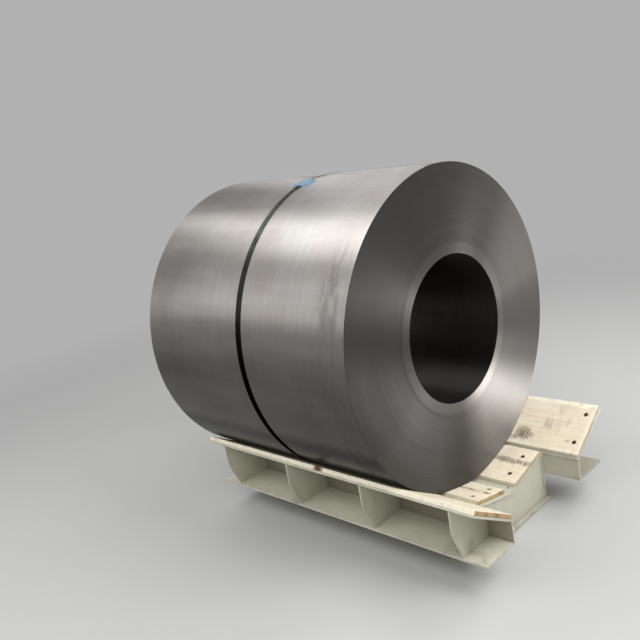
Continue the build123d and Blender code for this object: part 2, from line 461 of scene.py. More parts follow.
def side_steel(settings):
    """Bare rolled steel: bands along the axis, streaks round it, faint stains, marks rubbed into the upper half near
    one edge, a painted shade that darkens the lower half, and a darker painted shadow along the bottom where the coil
    meets the boards."""
    material, shader = new_material("rolled_steel")
    place = object_place(shader)
    x, _, height = place.parts()
    streaks = rolled_streaks(place, 7.0, 70.0)
    rub_zone = abs(x - 0.525).ramp(0.015, 0.085, 1.0, 0.0) * height.ramp(0.38, 0.50, 1.0, 0.2)
    rub_lines = place.stretched(1.0, 0.24, 0.24).noise(44.0, 3.0, 0.5, 0.9)
    rubbed = rub_zone * rub_lines.ramp(0.36, 0.66)
    level = streaks["Bands"].ramp(0.32, 0.68, 0.86, 1.08) * streaks["Streaks"].ramp(0.3, 0.7, 0.95, 1.04)
    level *= streaks["Stains"].ramp(0.35, 0.7, 1.03, 0.90) * rubbed.ramp(0.0, 1.0, 1.01, 0.92)
    # Painted shade over the lower half of the side, and a painted shadow at the bottom where the coil meets the
    # boards
    level *= height.ramp(-0.08, 0.16, settings.painted_lower_shade, 1.0) * height.ramp(-0.35, -0.27, 0.13, 1.0)
    warm = streaks["Stains"].ramp(0.4, 0.62).blend(settings.side_colour, (0.315, 0.293, 0.277))
    rough = streaks["Bands"] * 0.12 + rubbed * 0.10 + 0.27
    surface(shader, warm.toned(level), rough, streaks["Streaks"] * 0.6 + rubbed * 0.12, 0.00008)
    round_gloss(shader, 0.55)
    return material


def end_steel(settings):
    """Edges of the turns: fine rings, a paler ring of inner turns, and painted shade over two sectors, at the lower
    left and level with the axis on the right."""
    material, shader = new_material("strip_edges")
    place = object_place(shader)
    flat = place.stretched(0, 1, 1)
    radius, outwards = flat.vector("LENGTH"), flat.vector("NORMALIZE")
    turns = turn_lines(place, radius, 420.0)
    sector = outwards.noise(1.4, 2.0)
    inner_end = settings.bore + settings.inner_ring
    level = turns["Lines"].ramp(0.3, 0.7, 0.94, 1.05) * turns["Bands"].ramp(0.3, 0.7, 0.96, 1.04)
    level *= radius.ramp(settings.bore + 0.030, inner_end + 0.006, 1.30, 1.0) * sector.ramp(0.3, 0.7, 0.92, 1.10)
    # Painted shade: the lower left sector and a narrow sector level with the axis on the right are darkened
    level *= outwards.vector("DOT_PRODUCT", (0, -0.866, -0.5)).ramp(0.20, 0.62, 1.0, 0.45)
    level *= outwards.vector("DOT_PRODUCT", (0, 0.990, -0.139)).ramp(0.950, 0.999, 1.0, 0.64)
    tinted = sector.ramp(0.35, 0.65).blend(settings.end_colour, (0.133, 0.124, 0.117))
    surface(shader, tinted.toned(level), turns["Bands"] * 0.05 + 0.35, turns["Lines"], 0.00003)
    round_gloss(shader, 0.91)
    return material


def bore_steel(settings):
    """Steel of the innermost turn, dull with a faint brown cast, and darkened towards its foot by a painted shade."""
    material, shader = new_material("bore_steel")
    place = object_place(shader)
    streaks = rolled_streaks(place, 9.0, 50.0)
    level = streaks["Bands"].ramp(0.3, 0.7, 0.8, 1.15) * streaks["Streaks"].ramp(0.3, 0.7, 0.92, 1.06)
    # Painted shade: darker towards the foot of the bore
    level *= place.parts()[2].ramp(-0.29, -0.08, 0.36, 1.05)
    brown = streaks["Stains"].blend(settings.bore_colour, (0.10, 0.096, 0.092))
    surface(shader, brown.toned(level), streaks["Stains"] * 0.18 + 0.30, streaks["Streaks"], 0.00006)
    round_gloss(shader, 0.5)
    return material


def end_slides(settings, radius):
    """How far each turn stands back from the coil's true end: four bands outside the inner ring, each eased into
    the next."""
    slides = np.array([0.0, -0.8, -0.4, -0.9, -0.5]) * MM
    eases = np.array([7, 18, 18, 18]) * MM
    start = settings.bore + settings.inner_ring
    band = (settings.radius - start) / len(eases)
    slide = np.zeros_like(radius)
    for k, ease in enumerate(eases):
        slide += (slides[k + 1] - slides[k]) * smooth_step(-ease, ease, radius - start - k * band)
    return slide


def coil_surface(settings):
    """Closed section of the coil carried round its axis: out along the near end, over the side, in along the far
    end and back through the bore, with a quarter circle at each of its four edges. On the ends each turn keeps its
    own place along the axis. The side and the bore are true to well under a millimetre."""
    columns, end_rows, side_rows, bore_rows, edge_rows = 220, 142, 46, 22, 5
    half, edge = settings.width / 2, settings.edge_radius
    radii = np.linspace(settings.bore + edge, settings.radius - edge, end_rows)
    side_x = np.linspace(half - 0.002 - edge, -half + edge, side_rows)
    bore_x = np.linspace(-half + 0.006, half - 0.006, bore_rows)
    angles = np.arange(columns) / columns * 2 * pi
    on_ring = np.stack([np.sin(angles), np.cos(angles)], axis=-1)

    jitter = np.random.default_rng(11).normal(0, settings.turn_jitter, end_rows)
    wide = waves(radii[:, None], 12, 10, 0.012, 0.06) * 0.00005
    spiral = [np.repeat(radii[:, None, None], columns, 1) * 14, np.repeat(on_ring[None], end_rows, 0)]
    lean = waves(np.concatenate(spiral, axis=-1), 13, 14, 1.1, 3.0) * 0.00016
    relief = jitter[:, None] + wide[:, None] + lean
    slide = end_slides(settings, radii)[:, None]
    near_x = half + np.minimum(slide + relief, 0.0)
    far_x = -half + slide + np.abs(relief)

    flat = np.ones((1, columns))
    quarter = np.arange(edge_rows) / edge_rows * pi / 2
    slow, fast = edge * (1 - np.cos(quarter)), edge * (1 - np.sin(quarter))
    place = np.concatenate([
        near_x,
        (near_x[-1:] - slow[:, None])[1:],
        side_x[:, None] * flat,
        (far_x[-1:] + fast[:, None])[:-1],
        far_x[::-1],
        (far_x[:1] + slow[:, None])[1:],
        bore_x[:, None] * flat,
        (near_x[:1] - fast[:, None])[:-1],
    ])
    distance = np.concatenate([
        radii,
        (settings.radius - fast)[1:],
        np.full(side_rows, settings.radius),
        (settings.radius - slow)[:-1],
        radii[::-1],
        (settings.bore + fast)[1:],
        np.full(bore_rows, settings.bore),
        (settings.bore + slow)[:-1],
    ])[:, None] * flat
    rows = len(place)
    counts = [end_rows + 2, side_rows + 4, end_rows + 4]
    kind = np.repeat([1, 0, 1, 2], counts + [rows - sum(counts)])
    around = np.repeat(on_ring[None], rows, 0)
    steady = np.concatenate([place[..., None] * 0.25, around * 0.66], axis=-1)
    waver = (waves(steady, 14, 16, 0.12, 0.5) + 1.0) * 0.00009
    distance = distance - np.where(kind[:, None] == 0, waver, 0) + np.where(kind[:, None] == 2, waver, 0)
    points = np.stack([place, distance * around[..., 0], AXIS_HEIGHT + distance * around[..., 1]], axis=-1)
    return points.reshape(-1, 3), ring_quads(rows, columns), np.repeat(kind, columns)


class WindCoil(bpy.types.Operator):
    """Wind the coil: its outer side, the edges of its turns on both ends, and its bore"""

    bl_idname = "steel_coil.wind"
    bl_label = "Wind the coil"

    def execute(self, context):
        settings = context.scene.coil_settings
        points, quads, kind = coil_surface(settings)
        materials = [side_steel(settings), end_steel(settings), bore_steel(settings)]
        belongs(mesh_piece("coil_turns", points, quads, materials, kind), "steel_coil")
        return {"FINISHED"}


# Strap and pad


def strap_steel(settings):
    """Blued strapping: dark, with fine rub marks along its length; painted shade darkens it below the axis and a
    painted sheen makes it much paler near the top.
    """
    material, shader = new_material("blued_strap")
    place = object_place(shader)
    height = place.parts()[2]
    streaks = rolled_streaks(place, 16.0, 420.0)
    worn = grime(place, 30.0, 0.35)["Patches"] * streaks["Streaks"].ramp(0.5, 0.62)
    # Painted light: darker below the axis, paler above it, and a painted sheen in a band near the top
    level = streaks["Bands"].ramp(0.3, 0.7, 0.8, 1.25) * height.ramp(0.0, 0.45, 0.30, 1.15)
    level *= height.ramp(0.36, 0.60, 1.0, 2.8) * height.ramp(0.57, 0.615, 1.0, 1.6)
    shade = worn.blend(settings.strap_colour, (0.10, 0.10, 0.092)).toned(level)
    surface(shader, shade, streaks["Stains"] * 0.20 + 0.26, streaks["Streaks"], 0.00008,
            Metallic=1.0, Specular_Tint=(0.12, 0.12, 0.12, 1.0))
    return material


def pad_plastic(settings):
    """Stiff blue plastic: a painted highlight along its bend, greener towards its far left, whitened where its
    corners are torn.
    """
    material, shader = new_material("blue_pad")
    place = stored(shader, "sheet", "Vector")
    across, along, _ = place.parts()
    crumple = place.noise(42.0, 5.0, 0.6, 0.5)
    scores = place.stretched(1.0, 0.12, 1.0).noise(320.0, 3.0, 0.6)
    # Painted highlight along the pad's bend
    bend = stored(shader, "crease") * crumple.ramp(0.2, 0.5)
    torn = (stored(shader, "ragged") + crumple * 0.5).ramp(0.62, 0.80)
    shade = (along - across * 0.6).ramp(0.0, 0.045).blend(settings.pad_colour, (0.040, 0.13, 0.17))
    shade = shade.under((bend, (0.17, 0.29, 0.37))).toned(scores.ramp(0.3, 0.7, 0.88, 1.08))
    dirt = grime(place, 40.0, 0.40)["Patches"] * 0.5
    shade = shade.under((torn, settings.pad_core), (dirt, (0.035, 0.05, 0.07)))
    surface(shader, shade, crumple * 0.25 + 0.30, scores * 0.2 + crumple, 0.0005)
    return material


def pad_surface(settings):
    """Bent plate: a grid over the pad's width and length, carried onto the cylinder and closed underneath by the
    same grid a plate's thickness lower. It stands off the steel by a bell whose top is one slanting bend, and more
    at two corners."""
    columns, rows = 64, 44
    p = np.linspace(-0.5, 0.5, columns)[:, None] * np.ones((1, rows))
    q = np.linspace(-0.5, 0.5, rows)[None, :] * np.ones((columns, 1))
    width, long = settings.pad_width, settings.pad_length
    grid = np.stack([p * width, q * long], axis=-1)
    corner_low = smooth_step(0.26, 0.50, -p) * smooth_step(0.10, 0.50, -q)
    corner_high = smooth_step(0.28, 0.50, p) * smooth_step(0.12, 0.50, q)
    torn = corner_low + corner_high
    across = p * width * (1 - 0.035 * (1 + waves(grid, 31, 12, 0.008, 0.04)) * np.abs(q * 2) ** 6 + 0.05 * torn)
    along = q * long * (1 - 0.045 * (1 + waves(grid, 32, 12, 0.008, 0.03)) * np.abs(p * 2) ** 6 * (1 - torn))
    c, s = cos(settings.pad_turn), sin(settings.pad_turn)
    x = settings.pad_x + across * c - along * s
    y = settings.pad_y + across * s + along * c
    from_bend = across - 11.6 * MM + 0.247 * along
    bell = np.exp(-(from_bend / np.where(from_bend < 0, 55 * MM, 23 * MM)) ** 2)
    crease = np.exp(-(from_bend / (3.6 * MM)) ** 2)
    lift = 4.9 * bell + 1.1 * crease * (1 - 0.5 * smooth_step(0.2, 0.5, q)) + 3.4 * corner_low + 3.6 * corner_high
    lift = (lift + 0.9 * smooth_step(0.34, 0.50, -q) + 0.12 * (1 + waves(grid, 33, 18, 0.012, 0.05))) * MM
    thick = 2.2 * MM * np.sqrt(np.clip(1 - np.maximum(np.abs(p * 2), np.abs(q * 2)) ** 24, 0.02, 1))
    base = 664.4 * MM
    turn = np.arcsin(y / base)

    def plate(radius):
        return np.stack([x, radius * np.sin(turn), AXIS_HEIGHT + radius * np.cos(turn)], axis=-1).reshape(-1, 3)

    middle = base + 1.1 * MM + lift
    upper, lower = plate(middle + thick / 2), plate(middle - thick / 2)
    count = columns * rows
    order = np.arange(count).reshape(columns, rows)
    top = cell_faces(order[:-1, :-1].ravel(), rows)
    bottom = top[:, ::-1] + count
    border = loop_round(order)
    rim = band_faces(border, border + count)
    flat = np.stack([across, along, 0 * across], axis=-1).reshape(-1, 3)
    ragged = np.clip(torn, 0, 1) * smooth_step(0.30, 0.50, np.maximum(np.abs(p), np.abs(q)))
    marks = {
        "sheet": np.concatenate([flat, flat + (0, 0, 0.01)]),
        "crease": np.tile(crease.ravel(), 2),
        "ragged": np.tile(ragged.ravel(), 2),
    }
    return np.concatenate([upper, lower]), np.concatenate([top, bottom, rim]), marks


class FitStrap(bpy.types.Operator):
    """Finish the strap and its crimped seal, and lay the bent pad over them"""

    bl_idname = "steel_coil.fit_strap"
    bl_label = "Fit the strap and pad"

    def execute(self, context):
        settings = context.scene.strap_settings
        steel = strap_steel(settings)
        for node in ("strap", "strap_seal"):
            frame["nodes"][node].material_slots[0].material = steel
        points, quads, marks = pad_surface(settings)
        pad = mesh_piece("seal_pad", points, quads, [pad_plastic(settings)])
        for name, values in marks.items():
            attribute(pad, name, values)
        belongs(pad, "strap_pad")
        return {"FINISHED"}


# Boards


def board_wood(settings):
    """Scraped pine: faint grain along the board, clouds of dirt, smudges drawn out across it, fresh wood at its
    edges with a few brown strokes, and one dark knot."""
    material, shader = new_material("pine_board")
    place = stored(shader, "board", "Vector")
    scuff, worn, knot = (stored(shader, name) for name in ("scuff", "worn", "knot"))
    grain = wood_grain(place, 55.0)
    dirt = grime(place, 11.0, 0.52)
    drawn = place.stretched(1.0, 0.30, 1.0)
    cloud = place.noise(24.0, 5.0, 0.6, 0.3)
    strokes = drawn.noise(48.0, 2.0, 0.5)
    fibrous = place.stretched(1.0, 0.22, 1.0).noise(150.0, 2.0, 0.5)
    loose = drawn.noise(15.0, 3.0, 0.55, 0.6).ramp(0.52, 0.72)
    outline = scuff + cloud * 1.5 + strokes * 1.6 - 1.55
    smudge = outline.ramp(0.30, 1.35, 0.0, 0.85) * scuff.ramp(0.03, 0.3) * fibrous.ramp(0.32, 0.60, 0.40, 1.0)
    shade = (grain["Rings"].ramp(0.42, 0.70) * 0.30).blend(settings.wood_pale, settings.wood_dark)
    shade = shade.toned(grain["Fibres"].ramp(0.3, 0.7, 0.95, 1.03)).under(
        (grain["Knots"] * 0.6, (0.40, 0.25, 0.11)),
        (smudge, settings.scuff_colour),
        (loose * 0.30, (0.46, 0.38, 0.30)),
        (dirt["Patches"] * 0.30, (0.46, 0.39, 0.30)),
        (dirt["Specks"] * 0.22, (0.16, 0.12, 0.09)),
        (worn * cloud.ramp(0.25, 0.5), settings.wood_edge),
        (worn * strokes.ramp(0.58, 0.70, 0.0, 0.5), (0.50, 0.36, 0.19)),
        (knot, (0.09, 0.035, 0.018)),
    )
    surface(shader, shade, cloud * 0.25 + 0.55, grain["Fibres"] * 0.5 + grain["Rings"], 0.0006)
    return material


def end_grain(settings):
    """Sawn board ends: faint curved rings, from pale to orange-brown as the board has it, and a painted shadow along
    the foot, where the board lies on its plate.
    """
    material, shader = new_material("pine_end")
    place = stored(shader, "board", "Vector")
    brown = stored(shader, "brown")
    rings = place.stretched(1.0, 0.35, 1.0).noise(150.0, 3.0, 0.5, 1.2)
    saw = place.stretched(1.0, 1.0, 0.12).noise(420.0, 3.0, 0.6)
    patch = place.noise(16.0, 3.0, 0.5).ramp(0.50, 0.62) * (brown * 0.75)
    # Painted shadow along the foot of the end face
    foot = stored(shader, "depth").ramp(-settings.thickness, 0.004 - settings.thickness, 0.8, 0.0)
    shade = brown.blend((0.72, 0.60, 0.41), (0.44, 0.30, 0.14))
    shade = shade.under((rings.ramp(0.4, 0.62) * 0.55, (0.40, 0.25, 0.10)), (patch, (0.20, 0.11, 0.05)))
    shade = shade.toned(saw.ramp(0.3, 0.7, 0.90, 1.06)).under((foot, (0.07, 0.055, 0.04)))
    surface(shader, shade, saw * 0.2 + 0.62, saw, 0.0005)
    return material


def stud_steel():
    """Studs and nuts, brown with rust and dust."""
    material, shader = new_material("rusty_studs")
    patches = grime(object_place(shader), 90.0, 0.6)["Patches"]
    shade = patches.blend((0.06, 0.045, 0.035), (0.14, 0.065, 0.03))
    surface(shader, shade, patches * 0.3 + 0.5, patches, 0.0005, Metallic=0.4)
    return material


def grid_lines(low, high, step, fixed):
    """Rising numbers from low to high, about a step apart, with the fixed ones among them."""
    knots = np.unique(np.round(np.concatenate([[low, high], *fixed]), 6))
    counts = np.maximum(1, np.ceil(np.diff(knots) / step - 0.01).astype(int)) + 1
    spans = [np.linspace(p, q, count) for p, q, count in zip(knots[:-1], knots[1:], counts)]
    return np.unique(np.round(np.concatenate(spans), 6))


def board_shell(settings, board, groove, seed):
    """Closed board with sunk round holes, in board coordinates: along, across and height over the seat.
    A grid for the top and one for the bottom leave out a square round each hole. The hole's rings run from the top's
    square through the counterbore to the bottom's square, and rows round the border join the two grids. Edges are
    eased and chipped by a wandering amount that fades away from them. The strap's groove crosses the board."""
    span, across, inset = board["span"], board["across"], board["inset"]
    hole_a = np.array([span[0] + inset[0], span[1] - inset[0]])
    hole_b = np.array([across[0] + inset[1], across[1] - inset[1]])
    cell, half_cells = 5.0 * MM, 4
    reach = cell * half_cells
    steps = np.arange(-half_cells, half_cells + 1) * cell
    margins = np.array([1.2, 3.0, 6.0, 11.0]) * MM
    beside_groove = groove + np.array([-19.0, -16.6, 16.6, 19.0]) * MM
    fixed_a = [span[0] + margins, span[1] - margins, *(np.round(hole_a, 6)[:, None] + steps), beside_groove]
    fixed_b = [across[0] + margins, across[1] - margins, *(np.round(hole_b, 6)[:, None] + steps)]
    a = grid_lines(*span, 11.0 * MM, fixed_a)
    b = grid_lines(*across, 7.0 * MM, fixed_b)
    aa, bb = np.meshgrid(a, b, indexing="ij")
    rows, columns = aa.shape
    to_edges = (aa - span[0], span[1] - aa, bb - across[0], across[1] - bb)

    def chip(number):
        along = (bb, bb, aa, aa)[number]
        place = np.stack([along, np.full_like(along, number + 1)], axis=-1)
        field = waves(place, seed + 1000 * (number + 1) % 97, 16, 0.008, 0.09)
        fade = np.exp(-to_edges[number] / (12.0 * MM))
        return board["ragged"][number] * (0.25 + np.clip(field, 0, 1.6)) * MM * fade

    top_a, top_b = aa + chip(0) - chip(1), bb + chip(2) - chip(3)
    flat = np.stack([aa, bb], axis=-1)
    relief = 0.22 * MM * (1 + waves(flat * (0.08, 1.0), seed + 1, 20, 0.004, 0.03))
    dents = 0.9 * MM * np.clip(waves(flat, seed + 2, 18, 0.02, 0.12) - 0.9, 0, 1)
    rounding = np.exp(-np.minimum.reduce(to_edges) / (1.6 * MM))
    eased = (1.1 + 0.5 * waves(flat, seed + 3, 12, 0.01, 0.06)) * MM * rounding
    strap_dip = SEAT_DISTANCE - np.sqrt((STRAP_OUTSIDE + 0.15 * MM) ** 2 - np.minimum(np.abs(bb), 0.2) ** 2)
    in_groove = np.abs(aa - groove) < 17.0 * MM
    top_c = -relief - dents - eased
    top_c = np.where(in_groove, np.minimum(top_c, -np.abs(np.minimum(strap_dip, 0)) - 0.05 * MM), top_c)
    top = np.stack([top_a, top_b, top_c], axis=-1)
    bottom = np.stack([top_a, top_b, np.full_like(aa, -settings.thickness)], axis=-1)

    order = np.arange(rows * columns).reshape(rows, columns)
    keep = np.ones((rows - 1, columns - 1), bool)
    points = [top.reshape(-1, 3), bottom.reshape(-1, 3)]
    count = 2 * rows * columns
    quads = []
    radius, deep = settings.counterbore, settings.counterbore_depth
    stud, thick = settings.stud_hole, settings.thickness
    for hole in [np.array([hole_along, hole_across]) for hole_along in hole_a for hole_across in hole_b]:
        i0 = int(np.argmin(np.abs(a - (hole[0] - reach))))
        j0 = int(np.argmin(np.abs(b - (hole[1] - reach))))
        n = 2 * half_cells
        keep[i0:i0 + n, j0:j0 + n] = False
        square = loop_round(order[i0:i0 + n + 1, j0:j0 + n + 1])
        corner = flat.reshape(-1, 2)[square] - hole
        angle = np.arctan2(corner[:, 1], corner[:, 0])
        circle = np.stack([np.cos(angle), np.sin(angle)], axis=-1)
        level = top.reshape(-1, 3)[square, 2]
        rings = []
        for ring_level, ring_radius, share_round in (
            (level, radius + 1.2 * MM, 0.5), (level - 0.15 * MM, radius + 1.0 * MM, 1.0),
            (-0.9 * MM, radius + 0.2 * MM, 1.0), (-2.2 * MM, radius, 1.0), (-deep, radius, 1.0),
            (-deep, stud, 1.0), (-thick, stud, 1.0), (-thick, stud, 0.5),
        ):
            spot = hole + circle * ring_radius * share_round + corner * (1 - share_round)
            rings.append(np.column_stack([spot, np.broadcast_to(ring_level, len(spot))]))
        on_rings = count + np.arange(len(rings) * len(square)).reshape(len(rings), -1)
        points.extend(rings)
        count += on_rings.size
        ladder = [square, *on_rings, square + rows * columns]
        for outer, inner in zip(ladder[:-1], ladder[1:]):
            quads.append(np.stack([outer, np.roll(outer, -1), np.roll(inner, -1), inner], axis=-1))
    cover = cell_faces(order[:-1, :-1][keep], columns)
    quads.append(cover)
    quads.append(cover[:, ::-1] + rows * columns)
    body_faces = sum(len(q) for q in quads)

    border = loop_round(order)
    inward = np.stack([
        (aa == a[0]) * 1.0 - (aa == a[-1]), (bb == b[0]) * 1.0 - (bb == b[-1]),
    ], axis=-1).reshape(-1, 2)[border]
    edge_place = top.reshape(-1, 3)[border]
    points[0][border, :2] += inward * 0.9 * MM
    points[1][border, :2] += inward * 0.5 * MM
    splinter = np.abs(waves(edge_place[:, :2], seed + 7, 14, 0.01, 0.05)[:, None] * 0.3 * MM)
    rows_down = [border]
    shoulder = edge_place[:, 2] - 0.9 * MM
    for level, pull in (
        (shoulder, 0.25 * MM), (-2.0 * MM, splinter), (-0.5 * thick, splinter), (0.6 * MM - thick, splinter),
    ):
        row = np.column_stack([edge_place[:, :2] + inward * pull, np.broadcast_to(level, len(border))])
        points.append(row)
        rows_down.append(count + np.arange(len(border)))
        count += len(border)
    rows_down.append(border + rows * columns)
    for upper, lower in zip(rows_down[:-1], rows_down[1:]):
        quads.append(band_faces(upper, lower))
    on_end = np.abs(inward[:, 0]) > 0.5
    end_flags = np.tile(on_end & np.roll(on_end, -1), len(rows_down) - 1)
    points = np.concatenate(points)
    quads = np.concatenate(quads)
    material = np.concatenate([np.zeros(body_faces, int), end_flags.astype(int)])
    used, packed = np.unique(quads, return_inverse=True)
    return points[used], packed.reshape(quads.shape), material


def on_facet(places, tilt, side):
    """Board coordinates turned into space: along the axis, up the facet's slope from where the coil touches, and
    off the facet."""
    t = radians(tilt)
    slope, height = places[:, 1], places[:, 2]
    y = side * (SEAT_DISTANCE * sin(t) + slope * cos(t) - height * sin(t))
    z = AXIS_HEIGHT - SEAT_DISTANCE * cos(t) + slope * sin(t) + height * cos(t)
    return np.stack([places[:, 0], y, z], axis=-1)


STEEP_FACET = {"tilt": STEEP, "span": (-0.5825, 0.9375), "across": (-0.09758, 0.16242), "inset": (0.038, 0.0575)}
# Edges are chipped by so many millimetres at the far end, the near end, the foot and the head. A knot has a place
# along and across the board and two half widths, and a scuff has a weight as well.
BOARDS = (
    {"name": "far_steep_board", "side": 1, **STEEP_FACET,
     "ragged": (1.2, 1.6, 0.6, 3.2), "brown": 0.1, "fresh": 0.009, "split": 0.020,
     "knot": (0.70, 0.031, 0.020, 0.002),
     "scuffs": ((0.665, -0.044, 0.056, 0.040, 1.45), (0.625, -0.066, 0.045, 0.032, 1.0),
                (0.758, 0.028, 0.020, 0.060, 0.74), (0.795, 0.115, 0.045, 0.026, 0.62),
                (0.874, -0.040, 0.016, 0.008, 0.72), (0.845, 0.050, 0.050, 0.045, 0.46))},
    {"name": "near_steep_board", "side": -1, **STEEP_FACET,
     "ragged": (1.2, 1.4, 0.6, 2.2), "brown": 0.9, "fresh": 0.006,
     "knot": (0.164, 0.160, 0.024, 0.016),
     "scuffs": ((0.690, -0.010, 0.070, 0.025, 0.6), (-0.450, 0.060, 0.120, 0.030, 0.5))},
    {"name": "far_shallow_board", "side": 1, "tilt": SHALLOW,
     "span": (-0.4165, 0.7715), "across": (-0.12212, 0.09758), "inset": (0.053, 0.05185),
     "ragged": (0.8, 1.4, 0.9, 0.7), "brown": 0.35, "fresh": 0.003,
     "knot": (-0.22, 0.06, 0.016, 0.008),
     "scuffs": ((0.680, 0.006, 0.150, 0.020, 1.55), (0.000, 0.004, 0.420, 0.016, 0.9))},
    {"name": "near_shallow_board", "side": -1, "tilt": SHALLOW,
     "span": (-0.4055, 0.7605), "across": (-0.12212, 0.06958), "inset": (0.053, 0.03785),
     "ragged": (1.0, 5.0, 1.0, 4.5), "brown": 0.7, "fresh": 0.004,
     "knot": (0.728, -0.034, 0.015, 0.009),
     "scuffs": ((0.630, -0.033, 0.080, 0.013, 1.5), (0.000, -0.024, 0.420, 0.010, 0.7))},
)


def board_marks(board, number, places):
    """What a board's materials read at each point: its place in the wood, bells of dirt on the top face, wood that is
    fresh along the border and over a splintered strip, one knot, how brown its ends are, and the point's depth."""
    (low_a, high_a), (low_b, high_b) = board["span"], board["across"]
    a, b, depth = places.T

    def away(spot_a, spot_b, half_a, half_b):
        return ((a - spot_a) / half_a) ** 2 + ((b - spot_b) / half_b) ** 2

    on_top = smooth_step(-0.004, -0.002, depth)
    scuff = np.maximum.reduce([weight * np.exp(-away(*spot)) * on_top for *spot, weight in board["scuffs"]])
    to_edge = np.minimum.reduce([a - low_a, high_a - a, b - low_b, high_b - b])
    worn = np.exp(-np.clip(to_edge, 0, None) / board["fresh"])
    if "split" in board:
        uneven = waves(places[:, :1], 90 + number, 12, 0.03, 0.25)
        inside = high_b - b - board["split"] * (1 + 0.35 * uneven)
        worn = np.maximum(worn, smooth_step(0.004, -0.002, inside))
    return {
        "board": places + (0.0, 0.4 * number, 0.13 * number),
        "scuff": scuff,
        "worn": worn,
        "knot": np.exp(-away(*board["knot"]) ** 2),
        "brown": np.full(len(places), board["brown"]),
        "depth": depth,
    }


class LayBoards(bpy.types.Operator):
    """Lay the four boards on the saddle's facets and rust the studs that hold them"""

    bl_idname = "steel_coil.lay_boards"
    bl_label = "Lay the boards"

    def execute(self, context):
        settings = context.scene.board_settings
        materials = [board_wood(settings), end_grain(settings)]
        groove = STRAP_X + (AXIS_HEIGHT - GROOVE_HEIGHT) * tan(STRAP_SLANT)
        for number, board in enumerate(BOARDS):
            places, quads, material = board_shell(settings, board, groove, 40 + 10 * number)
            points = on_facet(places, board["tilt"], board["side"])
            if board["side"] < 0:
                quads = quads[:, ::-1]
            piece = mesh_piece(board["name"], points, quads, materials, material, smooth=False)
            for name, values in board_marks(board, number, places).items():
                attribute(piece, name, values)
            belongs(piece, "steep_boards" if board["tilt"] == STEEP else "shallow_boards")
        frame["nodes"]["board_studs"].material_slots[0].material = stud_steel()
        return {"FINISHED"}


# Saddle


def saddle_paint(settings, name, wear):
    """Pale paint with brown dirt, drips, dust and painted shade under the far wing and on the near web, and chips
    down to bare steel.
    More wear turns it into a worn edge."""
    material, shader = new_material(name)
    place = object_place(shader)
    _, y, height = place.parts()
    dirt = grime(place, 5.0, 0.35 + 0.3 * wear)["Patches"]
    chips = grime(place, 24.0, 0.16 + 0.75 * wear)["Patches"]
    cloud = place.noise(4.0, 5.0, 0.6)
    drips = place.stretched(1.0, 1.0, 0.14).noise(20.0, 5.0, 0.6).ramp(0.50, 0.75)
    # Darker towards the floor, fading out 5 cm above it
    low = height.ramp(-AXIS_HEIGHT, 0.05 - AXIS_HEIGHT, 0.45, 0.0)
    beam_top = BEAM_DEPTH - AXIS_HEIGHT
    # Dust with painted shade on the far wing's low flange, and painted shade with dirt over the whole face of the
    # near web
    dust_and_shade = y.ramp(0.25, 0.32, 0.0, 0.7) * height.ramp(beam_top, beam_top + 0.015, 1.0, 0.0)
    dust_and_shade = dust_and_shade.larger(abs(y + NEAR_WEB_FACE).ramp(0.001, 0.003, 0.66, 0.0))
    shade = cloud.blend(settings.paint, (0.50, 0.485, 0.385)).toned(cloud.ramp(0.3, 0.7, 0.90, 1.06)).under(
        (drips * 0.22, (0.30, 0.27, 0.19)),
        (dirt * 0.55, settings.dirt),
        (low * cloud, settings.dirt),
        (dust_and_shade * cloud.ramp(0.2, 0.6, 0.75, 1.0), (0.19, 0.165, 0.115)),
        (chips, settings.bare),
    )
    relief = place.noise(160.0, 3.0) * 0.25 - chips
    surface(shader, shade, cloud * 0.22 + 0.38, relief, 0.00025, Metallic=chips * 0.75)
    return material


def eased_copy(node, edge, materials):
    """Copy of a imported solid, its loose triangles merged into clean faces and its edges bevelled by the worn width."""
    mesh = frame["nodes"][node].data.copy()
    mesh.materials.clear()
    for material in materials:
        mesh.materials.append(material)
    work = bmesh.new()
    work.from_mesh(mesh)
    bmesh.ops.remove_doubles(work, verts=work.verts, dist=1e-5)
    bmesh.ops.dissolve_limit(work, angle_limit=radians(1.0), verts=work.verts, edges=work.edges)
    bmesh.ops.recalc_face_normals(work, faces=work.faces)
    for face in work.faces:
        face.material_index = 0
        face.smooth = False
    work.to_mesh(mesh)
    work.free()
    piece = in_scene(f"eased_{node}", mesh)
    bevel = piece.modifiers.new("eased edges", "BEVEL")
    bevel.width = edge
    bevel.segments = 2
    bevel.limit_method = "ANGLE"
    bevel.angle_limit = radians(25)
    bevel.material = 1
    return piece


SADDLE_NODES = (
    "steep_plates", "far_shallow_plate", "near_shallow_plate", "box_walls", "box_ends", "box_floor",
    "wing_webs", "wing_flanges", "wing_gussets",
)


class DressSaddle(bpy.types.Operator):
    """Paint the saddle's plates and wear their edges"""

    bl_idname = "steel_coil.dress_saddle"
    bl_label = "Dress the saddle"

    def execute(self, context):
        settings = context.scene.saddle_settings
        materials = [saddle_paint(settings, "saddle_paint", 0.0), saddle_paint(settings, "worn_paint", 0.55)]
        for node in SADDLE_NODES:
            belongs(eased_copy(node, settings.edge, materials), node)
        return {"FINISHED"}


# Stage


def soft_lamp(name, place, target, size, brightness, lights):
    """Rectangular lamp that faces the target. Its power is its brightness times pi and its area.
    A fill lights dull surfaces alone, and a card is seen in the gloss of the steel alone."""
    lamp = bpy.data.lights.new(name, "AREA")
    lamp.shape = "RECTANGLE"
    lamp.size, lamp.size_y = size
    lamp.energy = brightness * pi * size[0] * size[1]
    holder = in_scene(name, lamp)
    towards = (Vector(target) - Vector(place)).to_track_quat("-Z", "Y")
    holder.matrix_world = Matrix.Translation(place) @ towards.to_matrix().to_4x4()
    holder.visible_camera = False
    holder.visible_glossy = lights != "fill"
    holder.visible_diffuse = lights != "card"
    if lights == "card":
        lamp.use_shadow = False
        lamp.cycles.use_multiple_importance_sampling = False


